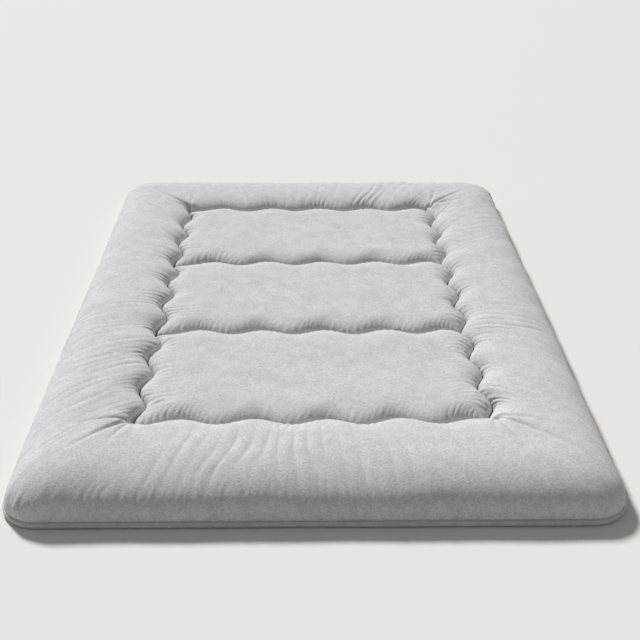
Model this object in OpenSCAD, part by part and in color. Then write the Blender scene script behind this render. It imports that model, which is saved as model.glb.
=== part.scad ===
// Three-section floor futon mattress: a firm core in three lengths, loose fill in quilted
// panels and a border roll, a sewn cover, and piping round the lower edge.
// It lies on z = 0 with its head end towards +Y, and folds in three along the cross seams.

/* [Mattress] */
// Overall width across the piping
width = 1350; // [900:10:1800]
// Overall length across the piping
length = 2000; // [1600:10:2400]
// Height of the border roll above the floor
height = 100; // [80:1:140]
// Plan radius of the outer corners
corner_radius = 90; // [60:5:130]

/* [Quilting] */
// Width of the border roll along the two sides
side_border = 260; // [180:5:320]
// Width of the border roll at the two ends
end_border = 310; // [200:5:380]
// How far the inner panels lie below the border roll
panel_drop = 12; // [4:1:20]
// How far the quilt seams wander to either side
wave_size = 12; // [4:1:16]
// Waves of the side seam along one panel
waves_along = 3; // [2:1:5]
// Waves of a cross seam from side to side
waves_across = 5; // [3:1:8]
// Thickness that the fill is pressed to under a seam
pinch = 0.5; // [0.3:0.1:2]
// Diameter of the quilting thread
thread_d = 1.2; // [0.8:0.1:2]

/* [Layers] */
// Thickness of the quilted top fabric
cover = 1.5; // [1:0.1:3]
// Thickness of the bottom fabric
base = 1.5; // [1:0.1:3]
// Thickness of the firm core
core = 45; // [30:1:55]
// Thickness of the backing that the quilting is sewn to
backing = 1; // [0.5:0.1:2]
// Distance from the edge of the cover to the core
core_setback = 60; // [30:5:100]

/* [Piping] */
// Outer diameter of the piping
piping_d = 16; // [10:0.5:20]
// Thickness of the fabric round the piping cord
piping_cloth = 1.2; // [0.8:0.1:2]
// How far the cover's edge lies inside the piping's outer edge
edge_in = 6; // [2:1:8]
// Clearance between the piping and what lies round it
piping_gap = 0.3; // [0.2:0.1:1]

/* [Fold] */
// Gap between the sections at a cross seam
fold_gap = 0.6; // [0.6:0.1:2]

/* [Hidden] */

foot = 0;
middle = 1;
head = 2;
wave_steps = 4;                       // straight pieces in one wave of a seam
arc_steps = 3;                        // straight pieces in half of a corner
roll_steps = 4;                       // straight pieces in each side of the roll
roll_power = 2.3;                     // squareness of the roll, 2 is an ellipse
crest = 0.46;                         // place of the roll's crest across the border
puff_power = 4;                       // squareness of a panel's crown
tube_sides = 8;
ring_half = 165;                      // half of the angle that the piping's cloth goes round

half_w = width / 2;
half_l = length / 2;
inner_w = half_w - side_border;       // half width of the quilted frame
inner_l = half_l - end_border;        // half length of the quilted frame
fold_y = inner_l / 3;                 // the cross seams and folds lie at +-fold_y
core_top = base + core;
backing_top = core_top + backing;
seam_z = backing_top + pinch + cover; // outside of the cover in a seam
edge_z = piping_d + piping_gap;       // lower edge of the cover
cord_d = (piping_d - 2 * piping_cloth) * cos(ring_half / tube_sides) - piping_gap;
notch = 4;                            // room between the piping and the fill beside it
core_t = 1 - core_setback / side_border;
foot_t = 1 - (piping_d - edge_in + notch) / side_border; // outer foot of the fill
thread_z = seam_z + 2.4 * thread_d;   // clear of the steep foot of the roll
along = waves_along * wave_steps;
across = waves_across * wave_steps;

fabric_grey = [0.78, 0.79, 0.81];
bottom_grey = [0.70, 0.71, 0.73];
fill_white = [0.96, 0.96, 0.94];
core_white = [0.90, 0.89, 0.84];
backing_white = [0.93, 0.93, 0.95];
thread_grey = [0.62, 0.63, 0.66];

function mix(a, b, w) = a + (b - a) * w;
function backwards(list) = [for (k = [len(list) - 1:-1:0]) list[k]];

// The wander of the side seams at v, 0 to 1 along the frame, and of the cross seams at u.
function side_wave(v) = -wave_size * cos(360 * 3 * waves_along * v);
function cross_wave(u) = -wave_size * sin(360 * waves_across * u);

// Where section i starts and ends along Y.
function span(i) = [
  i == foot ? -inner_l : (2 * i - 3) * fold_y + fold_gap / 2,
  i == head ? inner_l : (2 * i - 1) * fold_y - fold_gap / 2
];

// A point of the quilted frame: u across, w along section i, and the same without its wave.
function plain_seam(i, u, w) = [mix(-inner_w, inner_w, u), mix(span(i)[0], span(i)[1], w)];
function seam(i, u, w) = plain_seam(i, u, w) + [side_wave((i + w) / 3), cross_wave(u)];

// The outer edge as [point, outward direction]: corner, side and end.
function edge_corner(sx, sy, a) = let (n = [sx * cos(a), sy * sin(a)])
  [[sx * (half_w - corner_radius), sy * (half_l - corner_radius)] + corner_radius * n, n];

function edge_side(sx, i, w) =
  let (sy = i - 1, q = i == head ? w : 1 - w, straight = 1 - arc_steps / along)
  i == middle ? [[sx * half_w, mix(span(i)[0], span(i)[1], w)], [sx, 0]]
  : q > straight ? edge_corner(sx, sy, 45 * (q - straight) / (1 - straight))
  : [[sx * half_w, sy * mix(span(head)[0], half_l - corner_radius, q / straight)], [sx, 0]];

function edge_end(sy, u) =
  let (arc = arc_steps / across, run = half_w - corner_radius)
  u < arc ? edge_corner(-1, sy, 45 + 45 * u / arc)
  : u > 1 - arc ? edge_corner(1, sy, 45 + 45 * (1 - u) / arc)
  : [[mix(-run, run, (u - arc) / (1 - 2 * arc)), sy * half_l], [0, sy]];

// A station of the border: [seam, seam without wave, outer edge, outward direction].
function station(i, u, w, e) = [seam(i, u, w), plain_seam(i, u, w), e[0], e[1]];
function left_run(i) = [for (k = [0:along]) station(i, 0, k / along, edge_side(-1, i, k / along))];
function right_run(i) =
  [for (k = [along:-1:0]) station(i, 1, k / along, edge_side(1, i, k / along))];
function end_run(i) = i == head
  ? [for (k = [0:across]) station(i, k / across, 1, edge_end(1, k / across))]
  : [for (k = [across:-1:0]) station(i, k / across, 0, edge_end(-1, k / across))];
function inside(list) = [for (k = [1:len(list) - 2]) list[k]];

// Every border run of section i, clockwise seen from above.
function loops(i) = i == middle ? [left_run(i), right_run(i)]
  : i == head ? [concat(left_run(i), inside(end_run(i)), right_run(i))]
  : [concat(right_run(i), inside(end_run(i)), left_run(i))];

function cover_edge(s) = s[2] - edge_in * s[3];
function core_edge(s) = mix(s[1], cover_edge(s), core_t);
function lift(p, z) = [p[0], p[1], z];

// The roll from the seam over the crest to the outer edge, depth below the outer surface,
// as two quarters of a superellipse: [share of the border's width, height].
function roll(depth) = let (e = 2 / roll_power) concat(
  [for (k = [0:roll_steps]) let (a = 90 * k / roll_steps)
    [crest * (1 - pow(cos(a), e)), mix(seam_z, height, pow(sin(a), e)) - depth]],
  [for (k = [1:roll_steps]) let (a = 90 * k / roll_steps)
    [crest + (1 - crest - depth / side_border) * pow(sin(a), e),
     edge_z + (height - depth - edge_z) * pow(cos(a), e)]]);
function roll_points(s, depth) =
  [for (p = roll(depth)) lift(mix(s[0], cover_edge(s), p[0]), p[1])];

function cover_section(s) = concat(roll_points(s, 0), backwards(roll_points(s, cover)));
function fill_section(s) = let (low = mix(s[1], cover_edge(s), foot_t)) concat(
  [lift(core_edge(s), backing_top), lift(s[0], backing_top)],
  roll_points(s, cover),
  [lift(low, edge_z), lift(low, base), lift(core_edge(s), base)]);

// A round section of diameter d round point c, and a slit ring of wall t whose slit faces
// inwards. The outward direction n and the vertical span both sections.
function round_section(c, n, z, d) =
  [for (k = [0:tube_sides - 1]) let (a = -360 * k / tube_sides)
    lift(c + n * d / 2 * cos(a), z + d / 2 * sin(a))];
function arc_points(c, n, z, d, order) =
  [for (k = order) let (a = ring_half * (1 - 2 * k / tube_sides))
    lift(c + n * d / 2 * cos(a), z + d / 2 * sin(a))];
function ring_section(c, n, z, d, t) = concat(
  arc_points(c, n, z, d, [0:tube_sides]), arc_points(c, n, z, d - 2 * t, [tube_sides:-1:0]));

// A closed solid through a row of sections; a fan closes each end from its first point.
module sweep(sections) {
  n = len(sections[0]);
  last = (len(sections) - 1) * n;
  walls = [for (j = [0:len(sections) - 2], k = [0:n - 1])
    let (a = j * n + k, b = j * n + (k + 1) % n) each [[a, b, a + n], [b, b + n, a + n]]];
  polyhedron([for (s = sections) each s], concat(walls, sweep_ends(n, last)));
}
function sweep_ends(n, last) = [for (k = [1:n - 2]) each
  [[0, k + 1, k], [last, last + k, last + k + 1]]];

// A thin strip: its second half is its inner side, whose triangles are split like those of the
// solid that it covers, and its ends are closed by pairs of points that face each other.
module sweep_strip(sections) {
  n = len(sections[0]);
  last = (len(sections) - 1) * n;
  walls = [for (j = [0:len(sections) - 2], k = [0:n - 1])
    let (a = j * n + k, b = j * n + (k + 1) % n) each k < n / 2
      ? [[a, b, a + n], [b, b + n, a + n]] : [[a, b, b + n], [a, b + n, a + n]]];
  ends = [for (k = [0:n / 2 - 2]) let (m = n - 1 - k) each [
    [k, m, k + 1], [k + 1, m, m - 1],
    [last + k, last + k + 1, last + m], [last + k + 1, last + m - 1, last + m]]];
  polyhedron([for (s = sections) each s], concat(walls, ends));
}

// A panel's crown: 0 along its seams and 1 over its middle.
function puff(q) = sqrt(1 - pow(abs(2 * q - 1), puff_power));
function crown(u, w) = mix(seam_z, height - panel_drop, puff(u) * puff(w));

// A closed solid over panel i between the crown, depth lower, and either a level or the
// crown again, lower by thick.
module panel_solid(i, depth, thick, level) {
  nu = across + 1;
  nw = along + 1;
  tops = [for (b = [0:along], a = [0:across])
    lift(seam(i, a / across, b / along), crown(a / across, b / along) - depth)];
  bottoms = [for (p = tops) [p[0], p[1], thick > 0 ? p[2] - thick : level]];
  m = nu * nw;
  cells = [for (b = [0:along - 1], a = [0:across - 1]) let (k = b * nu + a) each [
    [k, k + nu, k + 1], [k + 1, k + nu, k + nu + 1],
    [m + k, m + k + 1, m + k + nu], [m + k + 1, m + k + nu + 1, m + k + nu]]];
  rim = concat([for (a = [0:across - 1]) a], [for (b = [0:along - 1]) b * nu + across],
    [for (a = [across:-1:1]) along * nu + a], [for (b = [along:-1:1]) b * nu]);
  walls = [for (k = [0:len(rim) - 1]) let (a = rim[k], b = rim[(k + 1) % len(rim)]) each
    [[a, b, m + a], [b, m + b, m + a]]];
  polyhedron(concat(tops, bottoms), concat(cells, walls));
}

module flat_layer(points, z, thick) {
  translate([0, 0, z]) linear_extrude(thick) polygon(points);
}

function core_outline(i) = [for (run = loops(i)) each [for (s = run) core_edge(s)]];
function bottom_outline(i) =
  [for (run = loops(i)) each [for (s = run) s[2] - (piping_d + piping_gap) * s[3]]];

module bottom_cover(i) color(bottom_grey) flat_layer(bottom_outline(i), 0, base);
module core_slab(i) color(core_white) flat_layer(core_outline(i), base, core);
module quilt_backing(i) color(backing_white) flat_layer(core_outline(i), core_top, backing);
module panel_fill(i) color(fill_white) panel_solid(i, cover, 0, backing_top);
module panel_cover(i) color(fabric_grey) panel_solid(i, 0, cover, 0);
module border_fill(run) color(fill_white) sweep([for (s = run) fill_section(s)]);

module border_cover(i) color(fabric_grey)
  for (run = loops(i)) sweep_strip([for (s = run) cover_section(s)]);

module piping_cover(i) color(fabric_grey) for (run = loops(i))
  sweep_strip([for (s = run)
    ring_section(s[2] - piping_d / 2 * s[3], s[3], piping_d / 2, piping_d, piping_cloth)]);

module piping_cord(i) color(core_white) for (run = loops(i))
  sweep([for (s = run)
    round_section(s[2] - piping_d / 2 * s[3], s[3], piping_d / 2, cord_d)]);
module frame_thread(i) color(thread_grey) for (run = loops(i))
  sweep([for (s = run) round_section(s[0], s[3], thread_z, thread_d)]);

// The cross seam's thread lies on the side of the end section, clear of the frame's thread.
module cross_thread(i) {
  side = i - 1;
  w = i == head ? 0 : 1;
  order = i == head ? [1:across - 1] : [across - 1:-1:1];
  color(thread_grey) sweep([for (k = order)
    round_section(seam(i, k / across, w) + [0, side * 1.5 * thread_d], [0, side],
      thread_z, thread_d)]);
}

bottom_cover(foot);  // bottom_cover_foot
bottom_cover(middle);  // bottom_cover_middle
bottom_cover(head);  // bottom_cover_head
core_slab(foot);  // core_foot
core_slab(middle);  // core_middle
core_slab(head);  // core_head
quilt_backing(foot);  // quilt_backing_foot
quilt_backing(middle);  // quilt_backing_middle
quilt_backing(head);  // quilt_backing_head
panel_fill(foot);  // panel_fill_foot
panel_fill(middle);  // panel_fill_middle
panel_fill(head);  // panel_fill_head
panel_cover(foot);  // panel_cover_foot
panel_cover(middle);  // panel_cover_middle
panel_cover(head);  // panel_cover_head
border_fill(end_run(foot));  // border_fill_foot_end
border_fill(left_run(foot));  // border_fill_foot_left
border_fill(right_run(foot));  // border_fill_foot_right
border_fill(left_run(middle));  // border_fill_middle_left
border_fill(right_run(middle));  // border_fill_middle_right
border_fill(end_run(head));  // border_fill_head_end
border_fill(left_run(head));  // border_fill_head_left
border_fill(right_run(head));  // border_fill_head_right
border_cover(foot);  // border_cover_foot
border_cover(middle);  // border_cover_middle
border_cover(head);  // border_cover_head
piping_cover(foot);  // piping_cover_foot
piping_cover(middle);  // piping_cover_middle
piping_cover(head);  // piping_cover_head
piping_cord(foot);  // piping_cord_foot
piping_cord(middle);  // piping_cord_middle
piping_cord(head);  // piping_cord_head
frame_thread(foot);  // frame_thread_foot
frame_thread(middle);  // frame_thread_middle
frame_thread(head);  // frame_thread_head
cross_thread(foot);  // cross_thread_foot
cross_thread(head);  // cross_thread_head
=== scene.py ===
import math

import bpy
import numpy as np
from mathutils import Matrix, Vector


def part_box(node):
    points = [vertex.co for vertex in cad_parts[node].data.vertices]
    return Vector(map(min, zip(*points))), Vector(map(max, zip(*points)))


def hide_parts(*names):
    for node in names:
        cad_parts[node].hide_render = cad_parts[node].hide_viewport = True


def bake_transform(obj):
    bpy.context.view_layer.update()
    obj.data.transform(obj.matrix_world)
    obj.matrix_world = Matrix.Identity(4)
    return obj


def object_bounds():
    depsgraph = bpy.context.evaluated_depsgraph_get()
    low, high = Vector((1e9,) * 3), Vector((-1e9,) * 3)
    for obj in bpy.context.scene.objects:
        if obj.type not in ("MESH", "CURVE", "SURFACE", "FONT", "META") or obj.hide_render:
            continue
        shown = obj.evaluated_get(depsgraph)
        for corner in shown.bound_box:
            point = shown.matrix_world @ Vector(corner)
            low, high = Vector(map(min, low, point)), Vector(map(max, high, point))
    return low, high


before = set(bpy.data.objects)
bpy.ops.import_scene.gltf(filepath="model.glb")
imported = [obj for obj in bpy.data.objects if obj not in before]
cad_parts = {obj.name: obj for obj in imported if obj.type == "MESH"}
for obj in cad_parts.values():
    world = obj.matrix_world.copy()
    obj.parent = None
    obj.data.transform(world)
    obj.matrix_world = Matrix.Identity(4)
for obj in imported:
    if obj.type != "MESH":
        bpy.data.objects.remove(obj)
cadLow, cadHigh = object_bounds()

# Sizes in metres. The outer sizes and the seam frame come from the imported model.
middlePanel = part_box("panel_cover_middle")
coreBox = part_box("core_middle")
mattress = {
    "halfWidth": cadHigh[0],
    "halfLength": cadHigh[1],
    "height": cadHigh[2],
    "seamHeight": middlePanel[0][2] + 0.0015,
    "panelHeight": middlePanel[1][2],
    "waveSize": 0.012,
    "wavesAlong": 9,
    "wavesAcross": 5,
    "cornerRadius": 0.09,
    "coreTop": coreBox[1][2] + 0.001,
    "seamGap": 0.0011,
}
mattress["innerHalfWidth"] = middlePanel[1][0] - mattress["waveSize"]
mattress["foldY"] = middlePanel[1][1] - mattress["waveSize"]
mattress["innerHalfLength"] = 3 * mattress["foldY"]


def makeCamera():
    # The camera stands before the foot end and looks down along the mattress.
    view = {"place": (-0.029, -2.801, 1.395), "down": 26.68, "turn": -1.07, "roll": 0.32,
            "focal": 60.1}
    data = bpy.data.cameras.new("camera")
    data.lens, data.sensor_width = view["focal"], 36
    data.clip_start, data.clip_end = 0.05, 60
    camera = bpy.data.objects.new("camera", data)
    bpy.context.collection.objects.link(camera)
    turn = Matrix.Rotation(math.radians(view["turn"]), 4, "Z")
    tilt = Matrix.Rotation(math.radians(90 - view["down"]), 4, "X")
    roll = Matrix.Rotation(math.radians(view["roll"]), 4, "Z")
    camera.matrix_world = Matrix.Translation(view["place"]) @ turn @ tilt @ roll
    bpy.context.scene.camera = camera


makeCamera()


def latticeNoise(x, y, seed, period=256):
    # Random heights 0 to 1 on a unit lattice, blended by a fifth-power fade; x repeats after period.
    table = np.random.default_rng(seed).random((max(period, 1), 256))
    xi, yi = np.floor(x).astype(int), np.floor(y).astype(int)
    fx, fy = x - xi, y - yi
    fx, fy = (f * f * f * (f * (f * 6 - 15) + 10) for f in (fx, fy))
    x0, x1, y0, y1 = xi % period, (xi + 1) % period, yi % 256, (yi + 1) % 256
    low = table[x0, y0] * (1 - fx) + table[x1, y0] * fx
    high = table[x0, y1] * (1 - fx) + table[x1, y1] * fx
    return low * (1 - fy) + high * fy


def gathers(q, reach, seed, period=256):
    # Rounded ridges with sharp valleys between: the size of a sine whose phase and height wander.
    phase = q + 1.1 * latticeNoise(q * 0.5, reach, seed, max(period // 2, 1))
    height = latticeNoise(q, reach * 1.7, seed + 1, period)
    return (np.abs(np.sin(np.pi * phase)) ** 0.75 - 0.6) * (0.15 + 1.1 * height ** 1.6)


def sideWave(v):
    # Wander of the side seams at v, 0 to 1 from the foot to the head.
    return -mattress["waveSize"] * np.cos(2 * np.pi * mattress["wavesAlong"] * v)


def crossWave(u):
    # Wander of the cross seams at u, 0 to 1 from left to right.
    return -mattress["waveSize"] * np.sin(2 * np.pi * mattress["wavesAcross"] * u)


def surfaceNormals(points, closed=False):
    # Unit normals of a grid of points from its central differences.
    if closed:
        padded = np.concatenate([points[-2:-1], points, points[1:2]])
        du = (padded[2:] - padded[:-2])
    else:
        du = np.gradient(points, axis=0)
    dv = np.gradient(points, axis=1)
    n = np.cross(du, dv)
    return n / np.maximum(np.linalg.norm(n, axis=2, keepdims=True), 1e-12)


def gridFaces(rows, columns):
    k = np.arange((rows - 1) * columns).reshape(rows - 1, columns)[:, :-1].ravel()
    return np.stack([k, k + columns, k + columns + 1, k + 1], axis=1)


def makePiece(name, points, quads, caps=(), normals=None, material=None):
    # Mesh from points, four-sided faces and many-sided end caps; normals holds a normal per point,
    # and a zero normal leaves that point to Blender.
    mesh = bpy.data.meshes.new(name)
    sizes = np.concatenate([np.full(len(quads), 4), [len(c) for c in caps]]).astype(int)
    loops = np.concatenate([quads.ravel()] + [np.array(c) for c in caps]).astype(int)
    mesh.vertices.add(len(points))
    mesh.vertices.foreach_set("co", points.astype(np.float32).ravel())
    mesh.loops.add(len(loops))
    mesh.loops.foreach_set("vertex_index", loops)
    mesh.polygons.add(len(sizes))
    mesh.polygons.foreach_set("loop_start", np.concatenate([[0], np.cumsum(sizes)[:-1]]))
    mesh.polygons.foreach_set("use_smooth", np.arange(len(sizes)) < len(quads))
    mesh.update(calc_edges=True)
    mesh.validate()
    if normals is not None:
        perLoop = normals[loops]
        perLoop[len(quads) * 4:] = 0
        mesh.normals_split_custom_set(perLoop.astype(np.float32).tolist())
    piece = bpy.data.objects.new(name, mesh)
    bpy.context.collection.objects.link(piece)
    if material:
        mesh.materials.append(material)
    return piece


def bendAtFold(piece):
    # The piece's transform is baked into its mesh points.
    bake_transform(piece)


def fabric(name, settings):
    # Brushed cloth: a fine nap over a plain weave, with faint uneven patches in its colour.
    material = bpy.data.materials.new(name)
    material.use_nodes = True
    nodes, links = material.node_tree.nodes, material.node_tree.links
    shader = nodes["Principled BSDF"]
    shader.inputs["Roughness"].default_value = settings["rough"]
    shader.inputs["Sheen Weight"].default_value = settings["sheen"]
    shader.inputs["Sheen Roughness"].default_value = 0.45
    shader.inputs["Specular IOR Level"].default_value = 0.2
    place = nodes.new("ShaderNodeTexCoord")
    patches = nodes.new("ShaderNodeTexNoise")
    patches.inputs["Scale"].default_value = settings["patchScale"]
    patches.inputs["Detail"].default_value = 5
    nap = nodes.new("ShaderNodeTexNoise")
    nap.inputs["Scale"].default_value = settings["napScale"]
    nap.inputs["Detail"].default_value = 3
    for node in (patches, nap):
        links.new(place.outputs["Object"], node.inputs["Vector"])
    both = nodes.new("ShaderNodeMath")
    both.operation = "MULTIPLY_ADD"
    both.inputs[1].default_value = 0.3
    links.new(patches.outputs["Fac"], both.inputs[0])
    share = nodes.new("ShaderNodeMath")
    share.operation = "MULTIPLY"
    share.inputs[1].default_value = 0.7
    links.new(nap.outputs["Fac"], share.inputs[0])
    links.new(share.outputs[0], both.inputs[2])
    ramp = nodes.new("ShaderNodeValToRGB")
    ramp.color_ramp.elements[0].position = 0.41
    ramp.color_ramp.elements[1].position = 0.59
    ramp.color_ramp.elements[0].color = (*settings["dark"], 1)
    ramp.color_ramp.elements[1].color = (*settings["light"], 1)
    links.new(both.outputs[0], ramp.inputs["Fac"])
    links.new(ramp.outputs["Color"], shader.inputs["Base Color"])
    threads = []
    for axis in ("X", "Y"):
        wave = nodes.new("ShaderNodeTexWave")
        wave.bands_direction = axis
        wave.inputs["Scale"].default_value = settings["weaveScale"]
        wave.inputs["Distortion"].default_value = 1.5
        wave.inputs["Detail"].default_value = 1
        links.new(place.outputs["Object"], wave.inputs["Vector"])
        threads.append(wave)
    weave = nodes.new("ShaderNodeMath")
    weave.operation = "MAXIMUM"
    links.new(threads[0].outputs["Fac"], weave.inputs[0])
    links.new(threads[1].outputs["Fac"], weave.inputs[1])
    weaveBump = nodes.new("ShaderNodeBump")
    weaveBump.inputs["Distance"].default_value = settings["weaveDepth"]
    links.new(weave.outputs[0], weaveBump.inputs["Height"])
    napBump = nodes.new("ShaderNodeBump")
    napBump.inputs["Distance"].default_value = settings["napDepth"]
    links.new(nap.outputs["Fac"], napBump.inputs["Height"])
    links.new(weaveBump.outputs["Normal"], napBump.inputs["Normal"])
    links.new(napBump.outputs["Normal"], shader.inputs["Normal"])
    return material


topFabric = fabric("brushedTopFabric", {
    "dark": (0.53, 0.54, 0.56), "light": (0.67, 0.68, 0.70), "rough": 0.92, "sheen": 0.18,
    "patchScale": 30, "napScale": 240, "weaveScale": 210, "weaveDepth": 0.0002, "napDepth": 0.0008,
})
pipingFabric = fabric("brushedPipingFabric", {
    "dark": (0.5, 0.5, 0.515), "light": (0.61, 0.61, 0.625), "rough": 0.92, "sheen": 0.25,
    "patchScale": 40, "napScale": 620, "weaveScale": 210, "weaveDepth": 0.0002, "napDepth": 0.0006,
})
bottomFabric = fabric("plainBottomFabric", {
    "dark": (0.44, 0.44, 0.455), "light": (0.53, 0.53, 0.545), "rough": 0.85, "sheen": 0.1,
    "patchScale": 14, "napScale": 500, "weaveScale": 160, "weaveDepth": 0.0004, "napDepth": 0.0003,
})
# The thread is darker than the cloth as painted shade: its dark colour stands in for the shade deep in
# the seam grooves.
seamShadeThread = fabric("quiltingThreadPaintedSeamShade", {
    "dark": (0.30, 0.30, 0.31), "light": (0.40, 0.40, 0.41), "rough": 0.7, "sheen": 0.2,
    "patchScale": 90, "napScale": 900, "weaveScale": 500, "weaveDepth": 0.0001, "napDepth": 0.0002,
})
coreFelt = fabric("coreFelt", {
    "dark": (0.75, 0.73, 0.66), "light": (0.88, 0.86, 0.80), "rough": 0.95, "sheen": 0.1,
    "patchScale": 60, "napScale": 300, "weaveScale": 90, "weaveDepth": 0.0002, "napDepth": 0.001,
})
backingCloth = fabric("backingNonwoven", {
    "dark": (0.80, 0.80, 0.82), "light": (0.90, 0.90, 0.92), "rough": 0.9, "sheen": 0.05,
    "patchScale": 50, "napScale": 420, "weaveScale": 120, "weaveDepth": 0.0001, "napDepth": 0.0004,
})
cordCotton = fabric("pipingCordCotton", {
    "dark": (0.76, 0.74, 0.68), "light": (0.88, 0.86, 0.80), "rough": 0.9, "sheen": 0.1,
    "patchScale": 80, "napScale": 500, "weaveScale": 200, "weaveDepth": 0.0004, "napDepth": 0.0004,
})
print("materials made")

# The border roll, seam to piping, and how its cloth gathers.
roll = {
    "stepsAlong": 0.0042, "stepsAcross": 40, "power": 2.3, "innerPower": 2.75,
    "crest": 0.46, "edgeInset": 0.006,
    "edgeHeight": 0.0165, "footInset": 0.02, "coreInset": 0.06, "footHeight": 0.0018,
    "innerGather": 0.0074, "innerCount": 236, "innerReach": 0.125,
    "outerGather": 0.0050, "outerCount": 300, "outerReach": 0.15,
    "longFold": 0.0034, "lump": 0.0040,
    "mitreWidth": 0.0065,
    "mitres": ((46, 0.013, 0.13), (20, 0.008, 0.085), (70, 0.009, 0.10), (94, 0.006, 0.07)),
}


def borderStations():
    # Stations round the whole border, clockwise from the left side's middle: the seam point, the
    # outer edge point and direction, the loop share of each, and how far the seam wanders outwards.
    m = mattress
    iw, il = m["innerHalfWidth"], m["innerHalfLength"]
    hw, hl, r = m["halfWidth"], m["halfLength"], m["cornerRadius"]
    halfArc = r * math.pi / 4
    sideSteps = 2 * int(hl / roll["stepsAlong"] / 2)
    endSteps = 2 * int(hw / roll["stepsAlong"] / 2)

    def sideRun(w):
        # w from 0 at the middle of a side to 1 at its head corner; the outer path runs ahead.
        y = w * il
        past = np.clip((y - m["foldY"]) / (il - m["foldY"]), 0, 1)
        rest = hl - r + halfArc - m["foldY"]
        lead = (il - m["foldY"]) / rest
        path = np.where(y < m["foldY"], y, m["foldY"] + rest * (lead * past + (1 - lead) * past ** 2))
        turn = np.clip((path - (hl - r)) / r, 0, math.pi / 4)
        ox = hw - r + r * np.cos(turn)
        oy = np.minimum(path, hl - r) + r * np.sin(turn)
        return y, np.stack([ox, oy], 1), np.stack([np.cos(turn), np.sin(turn)], 1)

    def endRun(w):
        # w from 0 at the middle of an end to 1 at its corner.
        x = w * iw
        path = w * (hw - r + halfArc)
        turn = np.clip((path - (hw - r)) / r, 0, math.pi / 4)
        ox = np.minimum(path, hw - r) + r * np.sin(turn)
        oy = hl - r + r * np.cos(turn)
        return x, np.stack([ox, oy], 1), np.stack([np.sin(turn), np.cos(turn)], 1)

    ws = np.linspace(0, 1, sideSteps + 1)
    we = np.linspace(0, 1, endSteps + 1)
    y, sideEdge, sideOut = sideRun(ws)
    x, endEdge, endOut = endRun(we)
    seam, edge, out, wander = [], [], [], []

    def add(px, py, e, o, sx, sy, isSide, skip):
        v = (py / il + 1) / 2
        u = (px / iw + 1) / 2
        shiftX, shiftY = sideWave(v), crossWave(u)
        seam.append(np.stack([px + shiftX, py + shiftY], 1)[skip:])
        edge.append((e * [sx, sy])[skip:])
        out.append((o * [sx, sy])[skip:])
        wander.append((shiftX * sx if isSide else shiftY * sy)[skip:])

    one, reverse = np.ones(sideSteps + 1), slice(None, None, -1)
    oneEnd = np.ones(endSteps + 1)
    add(-iw * one, y, sideEdge, sideOut, -1, 1, True, 0)
    add(-x[reverse], il * oneEnd, endEdge[reverse], endOut[reverse], -1, 1, False, 1)
    add(x, il * oneEnd, endEdge, endOut, 1, 1, False, 1)
    add(iw * one, y[reverse], sideEdge[reverse], sideOut[reverse], 1, 1, True, 1)
    add(iw * one, -y, sideEdge, sideOut, 1, -1, True, 1)
    add(x[reverse], -il * oneEnd, endEdge[reverse], endOut[reverse], 1, -1, False, 1)
    add(-x, -il * oneEnd, endEdge, endOut, -1, -1, False, 1)
    add(-iw * one, -y[reverse], sideEdge[reverse], sideOut[reverse], -1, -1, True, 1)
    seam, edge, out, wander = (np.concatenate(a) for a in (seam, edge, out, wander))
    share = []
    for line in (seam, edge):
        steps = np.linalg.norm(np.diff(line, axis=0), axis=1)
        share.append(np.concatenate([[0], np.cumsum(steps)]) / steps.sum())
    return {"seam": seam, "edge": edge, "out": out, "wander": wander,
            "seamShare": share[0], "edgeShare": share[1],
            "half": 2 * (sideSteps + endSteps)}


stations = borderStations()


def rollProfile():
    # Two quarters of a superellipse from the seam over the crest to the edge: share of width,
    # height, and share of the arc length.
    a = np.linspace(0, math.pi / 2, roll["stepsAcross"] + 1)
    top, low, edge = mattress["height"] - 0.002, mattress["seamHeight"], roll["edgeHeight"]
    (cosIn, sinIn), (cosOut, sinOut) = (
        (np.clip(np.cos(a), 0, 1) ** (2 / n), np.sin(a) ** (2 / n))
        for n in (roll["innerPower"], roll["power"]))
    t = np.concatenate([roll["crest"] * (1 - cosIn), (roll["crest"] + (1 - roll["crest"]) * sinOut)[1:]])
    z = np.concatenate([low + (top - low) * sinIn, (edge + (top - edge) * cosOut)[1:]])
    width = mattress["halfWidth"] - mattress["innerHalfWidth"]
    arc = np.concatenate([[0], np.cumsum(np.hypot(np.diff(t) * width, np.diff(z)))])
    return t, z, arc / arc[-1]


def seamAndEdge():
    # Where the roll's cloth starts beside the seam, where it ends over the piping, and the way between.
    edge = stations["edge"] - roll["edgeInset"] * stations["out"]
    away = edge - stations["seam"]
    length = np.linalg.norm(away, axis=1, keepdims=True)
    return stations["seam"] + mattress["seamGap"] * away / length, edge, away


def mitreCreases(points):
    # Valleys that run out from each inner corner, with a low swelling beside each: depth times a
    # bell curve across the crease's line, fading with a bell curve along it.
    push = np.zeros(points.shape[:2])
    turns = np.random.default_rng(83).uniform(-7, 7, (4, len(roll["mitres"])))
    for corner, (sx, sy) in enumerate(((-1, 1), (1, 1), (1, -1), (-1, -1))):
        dx = points[:, :, 0] * sx - mattress["innerHalfWidth"]
        dy = points[:, :, 1] * sy - mattress["innerHalfLength"]
        for turn, (degrees, depth, reach) in zip(turns[corner], roll["mitres"]):
            angle = math.radians(degrees + turn)
            along = dx * math.cos(angle) + dy * math.sin(angle)
            off = (dx * math.sin(angle) - dy * math.cos(angle)) / roll["mitreWidth"]
            here = depth * np.clip((along + 0.004) / 0.012, 0, 1) * np.exp(-(along / reach) ** 2)
            push += here * (0.45 * np.exp(-(off / 3) ** 2) - np.exp(-np.abs(off) ** 1.3))
    return push


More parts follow.
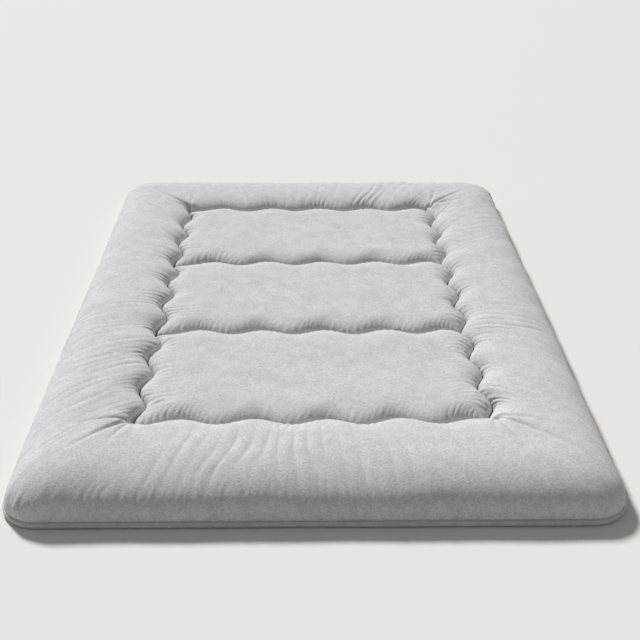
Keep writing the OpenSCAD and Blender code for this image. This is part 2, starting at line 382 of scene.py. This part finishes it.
def rollSurface():
    # Point = seam + (edge - seam) * share of width, at the profile's height, pushed along the
    # surface normal by the gathers from the seam, those from the piping, long folds and lumps.
    t, z, arc = rollProfile()
    s = stations
    innerCount, outerCount = roll["innerCount"], roll["outerCount"]
    start, edge, away = seamAndEdge()
    flat = start[:, None, :] + (edge - start)[:, None, :] * t[None, :, None]
    base = np.concatenate([flat, np.broadcast_to(z[None, :, None], flat.shape[:2] + (1,))], axis=2)
    normal = surfaceNormals(base, closed=True)
    a = np.broadcast_to(arc[None, :], base.shape[:2])
    share = s["seamShare"][:, None] * (1 - a) + s["edgeShare"][:, None] * a
    swell = s["wander"][:, None] / mattress["waveSize"]
    slope = np.gradient(s["wander"])[:, None] / mattress["waveSize"]
    fan = share - 0.011 * slope * np.exp(-a / 0.14) / np.abs(slope).max()
    seamNear = np.exp(-(a / roll["innerReach"]) ** 1.3) * np.clip(a / 0.012, 0, 1)
    edgeNear = np.exp(-((1 - a) / roll["outerReach"]) ** 1.3) * np.clip((1 - a) / 0.03, 0, 1)
    notch = 0.40 + 1.15 * np.clip(swell, 0, 1) ** 1.5
    inner = gathers(fan * innerCount, a * 3, 11, innerCount) * seamNear * notch
    outer = gathers(share * outerCount, a * 6 + 40, 23, outerCount) * edgeNear
    ease = np.clip(a / 0.05, 0, 1) * np.clip((1 - a) / 0.05, 0, 1)
    sparse = latticeNoise(share * 24, a * 2, 31, 24) ** 1.5
    folds = gathers(share * 150, a * 2.6 + 90, 37, 150) * ease * sparse
    lumps = (latticeNoise(share * 44, a * 3, 41, 44) - 0.5) * ease
    push = (roll["innerGather"] * inner + roll["outerGather"] * outer
            + roll["longFold"] * folds + roll["lump"] * lumps + mitreCreases(base) * ease)
    return base + normal * push[:, :, None]


def rollUnderside():
    # Rows that close the roll below: under the piping seam, along the floor, up the core's wall and
    # back to the seam.
    start, edge, away = seamAndEdge()
    width = np.linalg.norm(away, axis=1, keepdims=True)
    foot = edge - away / width * (roll["footInset"] - roll["edgeInset"])
    core = edge - away / width * roll["coreInset"] * width / width.min()
    rows = [(foot, roll["edgeHeight"]), (foot, roll["footHeight"]), (core, roll["footHeight"]),
            (core, mattress["coreTop"]), (start, mattress["coreTop"])]
    return np.stack([np.concatenate([p, np.full((len(p), 1), z)], 1) for p, z in rows], axis=1)


def tube(rows, columns):
    # Faces of a grid whose columns close into a ring.
    k = np.arange(rows - 1)[:, None] * columns
    c = np.arange(columns)[None, :]
    n = (c + 1) % columns
    return np.stack([k + c, k + columns + c, k + columns + n, k + n], axis=2).reshape(-1, 4)


def halfRange(end):
    # The head half runs from the left side's middle to the right side's, the foot half onwards.
    half = stations["half"]
    return slice(0, half + 1) if end == "head" else slice(half, 2 * half + 1)


def makeRoll():
    top, under = rollSurface(), rollUnderside()
    shown = surfaceNormals(top, closed=True)
    ring = np.concatenate([top, under], axis=1)
    normals = np.concatenate([shown, np.zeros_like(under)], axis=1)
    normals[:, 0] = normals[:, top.shape[1] - 1] = 0
    for end in ("head", "foot"):
        part = halfRange(end)
        points, facing = ring[part].reshape(-1, 3), normals[part].reshape(-1, 3)
        rows, columns = ring[part].shape[:2]
        first = np.arange(columns)
        caps = [first[::-1], first + (rows - 1) * columns]
        middleRows = np.zeros(rows, bool)
        middleRows[[0, -1]] = True
        facing = np.where(np.repeat(middleRows, columns)[:, None], facing, 0)
        piece = makePiece("borderRoll." + end, points, tube(rows, columns), caps, facing, topFabric)
        sides = [f"border_fill_{end}_{k}" for k in ("end", "left", "right")]
        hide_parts("border_cover_" + end, *sides)
        if end == "head":
            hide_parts("border_cover_middle", "border_fill_middle_left", "border_fill_middle_right")
        bendAtFold(piece)


makeRoll()
print("border roll made")

# The three crowned panels inside the frame.
panel = {
    "stepsAcross": 216, "stepsAlong": 128, "edgeRound": 0.090, "sideRound": 0.062,
    "power": 2.5, "edgeDense": 0.5,
    "sideGather": 0.0068, "sidePitch": 0.0190, "sideReach": 0.052,
    "endGather": 0.0058, "endPitch": 0.0145, "endReach": 0.034,
    "mitreEase": 0.02, "lump": 0.0030,
}


def easedSteps(n, dense):
    # Shares 0 to 1, closer together near both ends.
    k = np.linspace(0, 1, n + 1)
    return (1 - dense) * k + dense * (1 - np.cos(np.pi * k)) / 2


def pillowEdge(d, reach):
    # Quarter superellipse: 0 at the seam, 1 from reach inwards.
    q = 1 - np.clip(d / reach, 0, 1)
    return np.clip(1 - q ** panel["power"], 0, 1) ** (1 / panel["power"])


def panelSurface(index):
    # Crown = product of the pillow edges of both directions, over a grid that is shifted by the
    # seam waves; the cloth gathers along all four seams, most at the corners.
    m = mattress
    u = easedSteps(panel["stepsAcross"], panel["edgeDense"])[None, :]
    w = easedSteps(panel["stepsAlong"], panel["edgeDense"])[:, None]
    v = (index + w) / 3
    gap = m["seamGap"]
    spanX, spanY = 2 * m["innerHalfWidth"] - 2 * gap, 2 * m["foldY"] - 2 * gap
    plainX = (u - 0.5) * spanX + 0 * w
    plainY = (index - 1) * 2 * m["foldY"] + (w - 0.5) * spanY + 0 * u
    x = plainX + sideWave(v)
    y = plainY + crossWave(u)
    fromLeft, fromRight = u * spanX + 0 * w, (1 - u) * spanX + 0 * w
    fromFoot, fromHead = w * spanY + 0 * u, (1 - w) * spanY + 0 * u
    side, end = panel["sideRound"], panel["edgeRound"]
    shape = (pillowEdge(fromLeft, side) * pillowEdge(fromRight, side)
             * pillowEdge(fromFoot, end) * pillowEdge(fromHead, end))
    z = m["seamHeight"] + (m["panelHeight"] - 0.002 - m["seamHeight"]) * shape
    base = np.stack([x, y, z], axis=2)
    normal = -surfaceNormals(base)
    push = np.zeros_like(x)
    seed = 100 + 20 * index
    sides = ((fromLeft, 1.0, 1), (fromRight, -1.0, 2))
    for distance, sign, k in sides:
        near = np.exp(-(distance / panel["sideReach"]) ** 1.15) * np.clip(distance / 0.004, 0, 1)
        toEnd = np.minimum(fromFoot, fromHead)
        corner = 0.45 + 0.6 * np.exp(-((toEnd - 0.07) / 0.05) ** 2)
        corner = corner * np.clip((toEnd - distance * 0.9) / panel["mitreEase"], 0, 1)
        fan = plainY + sign * 0.010 * np.sin(2 * np.pi * m["wavesAlong"] * v) * np.exp(-distance / 0.035)
        ridges = gathers(fan / panel["sidePitch"], distance * 20, seed + k)
        push += panel["sideGather"] * near * corner * ridges
    ends = ((fromFoot, 1.0, 3), (fromHead, -1.0, 4))
    for distance, sign, k in ends:
        near = np.exp(-(distance / panel["endReach"]) ** 1.3) * np.clip(distance / 0.003, 0, 1)
        toSide = np.minimum(fromLeft, fromRight)
        patches = 0.35 + 0.9 * latticeNoise(plainX / 0.09 + 50, distance * 0, seed + k + 4)
        patches *= np.clip((toSide - distance * 0.9) / panel["mitreEase"], 0, 1)
        fan = plainX + sign * 0.012 * np.cos(2 * np.pi * m["wavesAcross"] * u) * np.exp(-distance / 0.03)
        ridges = gathers(fan / panel["endPitch"] + 90, distance * 20, seed + k)
        push += panel["endGather"] * near * patches * ridges
    ease = np.clip(shape * 1.2 - 0.2, 0, 1)
    push += panel["lump"] * ease * (latticeNoise(plainX / 0.11 + 9, plainY / 0.09 + 9, seed + 9) - 0.5)
    return base + normal * push[:, :, None]


def padMesh(name, top, normals, keepRows):
    # A closed pad: the crowned grid above, a flat copy of it below, and walls between their rims.
    # keepRows are the cut rows, which keep the normals of the uncut panel.
    rows, columns = top.shape[:2]
    n = rows * columns
    bottom = top.copy()
    bottom[:, :, 2] = mattress["coreTop"]
    up = gridFaces(rows, columns)[:, ::-1]
    down = gridFaces(rows, columns) + n
    first, last = np.arange(columns), np.arange(columns) + (rows - 1) * columns
    left, right = np.arange(rows) * columns, np.arange(rows) * columns + columns - 1
    walls = []
    for line in (first, last[::-1], left[::-1], right):
        walls.append(np.stack([line[:-1], line[:-1] + n, line[1:] + n, line[1:]], axis=1))
    quads = np.concatenate([up, down] + walls)
    facing = np.zeros((2 * n, 3))
    for row in keepRows:
        facing[row * columns + 1:(row + 1) * columns - 1] = normals[row, 1:-1]
    points = np.concatenate([top.reshape(-1, 3), bottom.reshape(-1, 3)])
    piece = makePiece(name, points, quads, (), None, topFabric)
    mesh = piece.data
    flags = np.arange(len(quads)) < len(up)
    mesh.polygons.foreach_set("use_smooth", flags)
    perLoop = np.zeros((len(quads) * 4, 3))
    loopPoints = quads[:len(up)].ravel()
    perLoop[:len(loopPoints)] = facing[loopPoints]
    mesh.normals_split_custom_set(perLoop.astype(np.float32).tolist())
    return piece


def makePanels():
    for index, end in ((0, "foot"), (2, "head")):
        top = panelSurface(index)
        piece = padMesh("panelPad." + end, top, -surfaceNormals(top), [])
        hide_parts("panel_fill_" + end, "panel_cover_" + end)
        bendAtFold(piece)
    top = panelSurface(1)
    normals = -surfaceNormals(top)
    middle = panel["stepsAlong"] // 2
    for end, part, row in (("foot", slice(0, middle + 1), middle), ("head", slice(middle, None), 0)):
        piece = padMesh("panelPadMiddle." + end, top[part], normals[part], [row])
        if end == "head":
            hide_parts("panel_fill_middle", "panel_cover_middle")
        bendAtFold(piece)


makePanels()
print("panels made")

# Piping: cloth folded round a cord, with small slanting gathers.
piping = {"radius": 0.008, "sides": 20, "wave": 0.0022, "gather": 0.0008, "cordRadius": 0.0062}


def pipingSurface(radius, ripple):
    # Circle carried along the outer edge; its centre wanders a little and its radius ripples.
    s = stations
    a = np.linspace(0, 2 * np.pi, piping["sides"], endpoint=False)[None, :]
    share = s["edgeShare"][:, None]
    drift = piping["wave"] * (latticeNoise(share * 40, share * 0, 61, 40) - 1)
    slant = share + 0.0006 * np.sin(a)
    r = radius + ripple * (gathers(slant * 560, a * 0 + 3, 67, 560) - 0.6)
    centre = s["edge"] - (piping["radius"] - drift) * s["out"]
    sideways = centre[:, None, :] + s["out"][:, None, :] * (r * np.cos(a))[:, :, None]
    z = piping["radius"] + r * np.sin(a)
    return np.concatenate([sideways, z[:, :, None]], axis=2)


def makeTube(name, surface, end, material):
    part = surface[halfRange(end)]
    rows, columns = part.shape[:2]
    first = np.arange(columns)
    quads = tube(rows, columns)[:, ::-1]
    caps = [first, (first + (rows - 1) * columns)[::-1]]
    return makePiece(name, part.reshape(-1, 3), quads, caps, None, material)


def makePiping():
    cover = pipingSurface(piping["radius"], piping["gather"])
    cord = pipingSurface(piping["cordRadius"] - 0.0006, 0)
    for end in ("head", "foot"):
        piece = makeTube("piping." + end, cover, end, pipingFabric)
        inside = makeTube("pipingCord." + end, cord, end, cordCotton)
        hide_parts("piping_cover_" + end)
        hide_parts("piping_cord_" + end)
        if end == "head":
            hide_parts("piping_cover_middle")
            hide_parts("piping_cord_middle")
        bendAtFold(piece)
        bendAtFold(inside)


makePiping()
print("piping made")

# Stitches of the quilting, in the bottom of the seams.
stitch = {"length": 0.0034, "space": 0.0046, "radius": 0.0006, "sides": 5, "rows": 4, "rise": 0.0009}


def stitchRow(line, name, nodes):
    # Each stitch is a short bent tube that dips into the cloth at both ends.
    steps = np.linalg.norm(np.diff(line, axis=0), axis=1)
    along = np.concatenate([[0], np.cumsum(steps)])
    starts = np.arange(0.002, along[-1] - stitch["length"], stitch["space"])
    k = np.linspace(0, 1, stitch["rows"] + 1)
    at = starts[:, None] + stitch["length"] * k[None, :]
    x, y = np.interp(at, along, line[:, 0]), np.interp(at, along, line[:, 1])
    dx, dy = x[:, -1:] - x[:, :1], y[:, -1:] - y[:, :1]
    size = np.hypot(dx, dy)
    dx, dy = dx / size, dy / size
    hump = np.sin(np.pi * k)[None, :] + 0 * x
    z = mattress["seamHeight"] + stitch["rise"] * (hump - 0.2) + stitch["radius"]
    r = stitch["radius"] * (0.35 + 0.65 * hump)
    a = np.linspace(0, 2 * np.pi, stitch["sides"], endpoint=False)
    px = x[:, :, None] - (dy[:, :, None] * r[:, :, None]) * np.cos(a)
    py = y[:, :, None] + (dx[:, :, None] * r[:, :, None]) * np.cos(a)
    pz = z[:, :, None] + r[:, :, None] * np.sin(a)
    points = np.stack([px, py, pz], axis=3)
    rows, columns = stitch["rows"] + 1, stitch["sides"]
    block = tube(rows, columns)[:, ::-1]
    offsets = (np.arange(len(starts)) * rows * columns)[:, None, None]
    quads = (block[None] + offsets).reshape(-1, 4)
    ring = np.arange(columns)
    caps = [c for o in offsets.ravel() for c in (ring + o, (ring + o + (rows - 1) * columns)[::-1])]
    # The stitches carry the thread's dark colour, which is painted seam shade.
    piece = makePiece(name, points.reshape(-1, 3), quads, caps, None, seamShadeThread)
    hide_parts(*nodes)
    bendAtFold(piece)


def makeStitches():
    for end, index in (("head", 2), ("foot", 0)):
        frameNodes = ["frame_thread_" + end] + (["frame_thread_middle"] if end == "head" else [])
        stitchRow(stations["seam"][halfRange(end)], "frameStitches." + end, frameNodes)
        u = np.linspace(0.004, 0.996, 600)
        sign = 1 if end == "head" else -1
        x = (2 * u - 1) * mattress["innerHalfWidth"] - mattress["waveSize"]
        y = sign * mattress["foldY"] + crossWave(u)
        stitchRow(np.stack([x, y], 1), "crossStitches." + end, ["cross_thread_" + end])


makeStitches()
print("stitches made")

# The plain bottom cover, stretched flat between the piping seams.
bottom = {"inset": 0.0155, "thick": 0.0014, "columns": 90, "rise": 0.0004}


def makeBottom():
    s = stations
    outline = s["edge"] - bottom["inset"] * s["out"]
    for end, sign in (("head", 1), ("foot", -1)):
        line = outline[halfRange(end)]
        count = len(line) // 2
        left = line[:count + 1]
        right = line[::-1][:count + 1]
        c = np.linspace(0, 1, bottom["columns"] + 1)[None, :, None]
        # Rows stop where the corners meet the straight end, which is the last row.
        reached = np.abs(left[:, 1]) > np.abs(left[:, 1]).max() - 1e-5
        last = int(np.argmax(reached)) + 1
        flat = left[:last, None, :] * (1 - c) + right[:last, None, :] * c
        sag = latticeNoise(flat[:, :, 0] / 0.16 + 40, flat[:, :, 1] / 0.16 + 40, 71)
        rim = np.minimum(c[:, :, 0], 1 - c[:, :, 0]) * 20
        low = bottom["rise"] * sag * np.clip(rim, 0, 1)
        under = np.concatenate([flat, low[:, :, None]], axis=2)
        over = under + [0, 0, bottom["thick"]]
        rows, columns = under.shape[:2]
        n = rows * columns
        faces = gridFaces(rows, columns)
        walls = []
        first, last = np.arange(columns), np.arange(columns) + (rows - 1) * columns
        leftRim, rightRim = np.arange(rows) * columns, np.arange(rows) * columns + columns - 1
        for rimLine in (first, last[::-1], leftRim[::-1], rightRim):
            walls.append(np.stack([rimLine[:-1] + n, rimLine[:-1], rimLine[1:], rimLine[1:] + n], 1))
        quads = np.concatenate([faces, faces[:, ::-1] + n] + walls)
        points = np.concatenate([under.reshape(-1, 3), over.reshape(-1, 3)])
        piece = makePiece("bottomCover." + end, points, quads, (), None, bottomFabric)
        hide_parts("bottom_cover_" + end)
        if end == "head":
            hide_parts("bottom_cover_middle")
        bendAtFold(piece)


makeBottom()
print("bottom cover made")

for place in ("foot", "middle", "head"):
    for node, material in (("core_" + place, coreFelt), ("quilt_backing_" + place, backingCloth)):
        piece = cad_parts[node]
        piece.data.materials.clear()
        piece.data.materials.append(material)


def makeStage():
    # A pale floor, a soft sun from behind the head end, and an even pale world.
    studio = {"floor": (0.78, 0.76, 0.73), "world": 0.25, "sun": 4.0, "softness": 9,
              "from": (-0.5, 1.0, 0.86)}
    mesh = bpy.data.meshes.new("floor")
    size = 30
    mesh.from_pydata([(-size, -size, -0.0005), (size, -size, -0.0005), (size, size, -0.0005),
                      (-size, size, -0.0005)], [], [(0, 1, 2, 3)])
    floor = bpy.data.objects.new("floor", mesh)
    bpy.context.collection.objects.link(floor)
    paint = bpy.data.materials.new("paleFloor")
    paint.use_nodes = True
    shader = paint.node_tree.nodes["Principled BSDF"]
    shader.inputs["Base Color"].default_value = (*studio["floor"], 1)
    shader.inputs["Roughness"].default_value = 0.9
    shader.inputs["Specular IOR Level"].default_value = 0.1
    mesh.materials.append(paint)
    world = bpy.data.worlds.new("studioWorld")
    world.use_nodes = True
    world.node_tree.nodes["Background"].inputs["Color"].default_value = (1, 1, 1, 1)
    world.node_tree.nodes["Background"].inputs["Strength"].default_value = studio["world"]
    bpy.context.scene.world = world
    data = bpy.data.lights.new("window", "SUN")
    data.energy, data.angle = studio["sun"], math.radians(studio["softness"])
    lamp = bpy.data.objects.new("window", data)
    bpy.context.collection.objects.link(lamp)
    lamp.matrix_world = Vector(studio["from"]).to_track_quat("Z", "Y").to_matrix().to_4x4()


makeStage()
bpy.context.scene.view_settings.view_transform = "Standard"
print("stage made")
